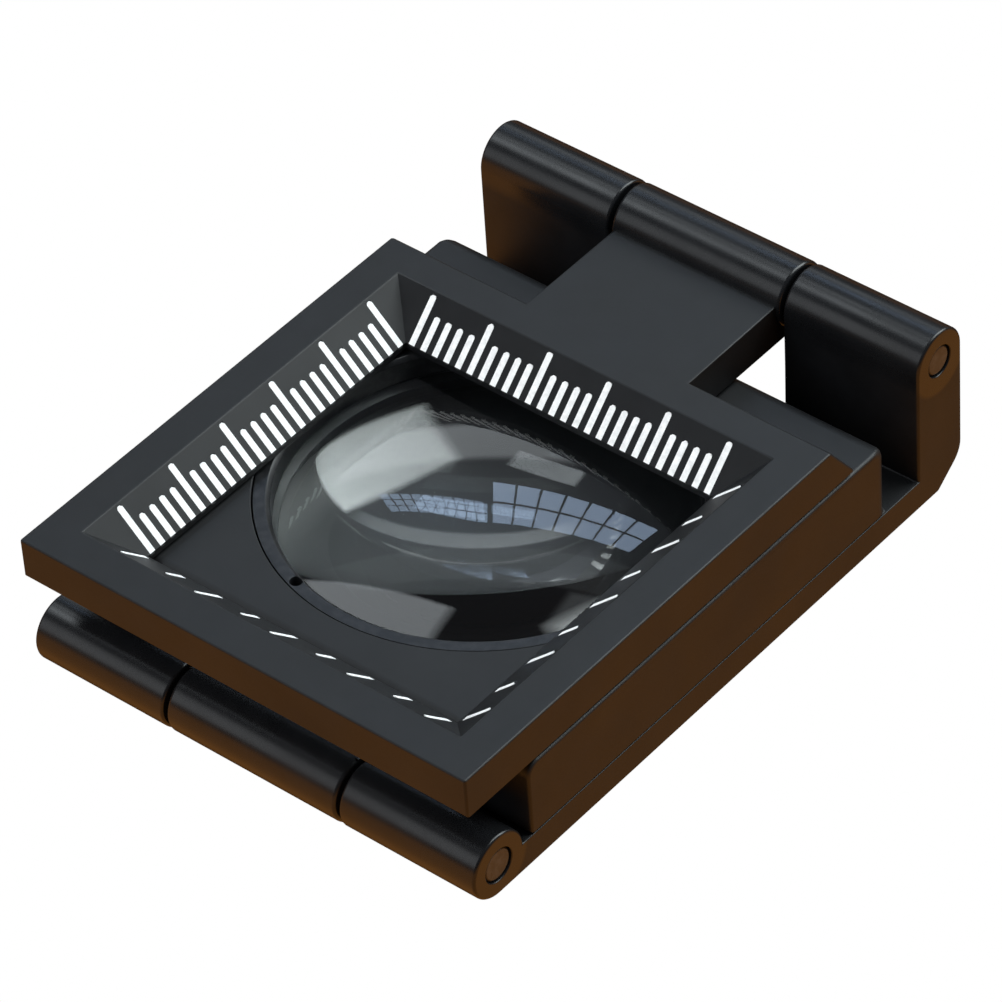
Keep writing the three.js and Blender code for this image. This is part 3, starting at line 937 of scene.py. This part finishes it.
def room_light():
    """White to the camera; to the magnifier, a grey room over a warm table that is dark far off."""
    world = bpy.data.worlds.new("room")
    bpy.context.scene.world = world
    world.use_nodes = True
    n = Nodes(world.node_tree)
    place = n.add("ShaderNodeTexCoord").outputs["Generated"]
    height = n.add("ShaderNodeSeparateXYZ", {0: place}).outputs["Z"]
    ramp = n.add("ShaderNodeValToRGB", {0: n.ramp(height, -1, 1)})
    stops = ramp.color_ramp.elements
    for stop, (position, colour) in zip(stops, (ROOM_COLOURS[0], ROOM_COLOURS[-1])):
        stop.position = position
        stop.color = colour
    for position, colour in ROOM_COLOURS[1:-1]:
        stops.new(position).color = colour
    far_side = direction(FAR_TABLE_AZIMUTH, 0)
    towards_far = n.add("ShaderNodeVectorMath", {0: place, 1: far_side}, operation="DOT_PRODUCT")
    is_low = n.ramp(height, *HORIZON_FADE, 1.0, 0.0)
    is_far = n.math("MULTIPLY", n.ramp(towards_far.outputs["Value"], *FAR_TABLE_FADE), is_low)
    room = n.add("ShaderNodeBackground", {
        "Color": ramp.outputs[0], "Strength": n.ramp(is_far, 0, 1, 1.0, FAR_TABLE_LEVEL),
    })
    white = n.add("ShaderNodeBackground", {"Color": (1, 1, 1, 1), "Strength": 1.0})
    to_camera = n.add("ShaderNodeLightPath").outputs["Is Camera Ray"]
    shader = n.add("ShaderNodeMixShader", {0: to_camera, 1: room.outputs[0], 2: white.outputs[0]})
    n.add("ShaderNodeOutputWorld", {"Surface": shader.outputs[0]})


def photo_camera():
    back = direction(CAMERA_AZIMUTH, CAMERA_ELEVATION)
    data = bpy.data.cameras.new("camera")
    data.sensor_width = CAMERA_SENSOR
    data.lens = CAMERA_LENS
    data.clip_start, data.clip_end = CAMERA_CLIP
    camera = bpy.data.objects.new("camera", data)
    bpy.context.scene.collection.objects.link(camera)
    right = back.cross(Vector((0, 0, -1))).normalized()
    up = back.cross(right)
    turned_right = right * math.cos(CAMERA_ROLL) + up * math.sin(CAMERA_ROLL)
    turned_up = back.cross(turned_right)
    basis = Matrix((turned_right, turned_up, back)).transposed()
    camera.matrix_world = Matrix.Translation(CAMERA_AIM + back * CAMERA_DISTANCE) @ basis.to_4x4()
    bpy.context.scene.camera = camera


DAYLIGHT = (0.56, 0.73, 1.0)
WALL = (0.9, 0.97, 1.02)
LAMP = (0.92, 1.0, 1.01)
PALE_WALL = (0.92, 0.96, 1.0)
WHITE = (1, 1, 1)
LIGHT_PANELS = {
    "window_right": {
        "corners": [(221.5, 41.3), (192.7, 45), (193.5, 52), (221.9, 51)],
        "colour": DAYLIGHT, "strength": 4.4, "panes": (7, 2), "gap": 0.1,
    },
    "window_left": {
        "corners": [(223, 46), (238, 38.5), (238, 43.5), (223, 50.4)],
        "colour": DAYLIGHT, "strength": 3.3, "panes": (10, 3), "gap": 0.14,
    },
    "soft_box": {
        "corners": [(141, 15), (174, 21), (206, 71), (95, 70)],
        "colour": LAMP, "strength": 10.0, "soft": 0.1, "far": 0.6,
    },
    "side_wall": {
        "corners": [(258, 46), (235, 67), (252, 71.5), (268, 48)],
        "colour": WALL, "strength": 3.2, "soft": 0.08,
    },
    "low_wall": {
        "corners": [(314, 8), (342, 8), (342, 41), (314, 41)],
        "colour": PALE_WALL, "strength": 1.8, "soft": 0.15,
    },
    "barrel_wall": {
        "corners": [(271, 47), (306, 47), (302, 64), (262, 64)],
        "colour": WALL, "strength": 6.0, "soft": 0.3,
    },
    "upper_wall": {
        "corners": [(186, 53), (257, 46), (250, 57), (186, 61.5)],
        "colour": WALL, "strength": 0.4, "soft": 0.1,
    },
    "ceiling": {
        "corners": [(178, 58), (201, 63), (205, 72), (178, 72)],
        "colour": WALL, "strength": 0.8, "soft": 0.15,
    },
    "horizon": {
        "corners": [(172, 20), (252, 20), (252, 30), (172, 30)],
        "colour": WALL, "strength": 1.7, "soft": 0.2,
    },
    "overhead": {
        "corners": [(120, 60), (300, 60), (300, 85), (120, 85)],
        "colour": WHITE, "strength": 1.2, "glossy": False,
    },
    "front_fill": {
        "corners": [(305, 20), (375, 20), (375, 55), (305, 55)],
        "colour": WHITE, "strength": 3.8, "glossy": False,
    },
}

pale_floor()
room_light()
for panel_name, panel_settings in LIGHT_PANELS.items():
    light_panel(panel_name, **panel_settings)
photo_camera()
bpy.context.scene.view_settings.view_transform = "Standard"
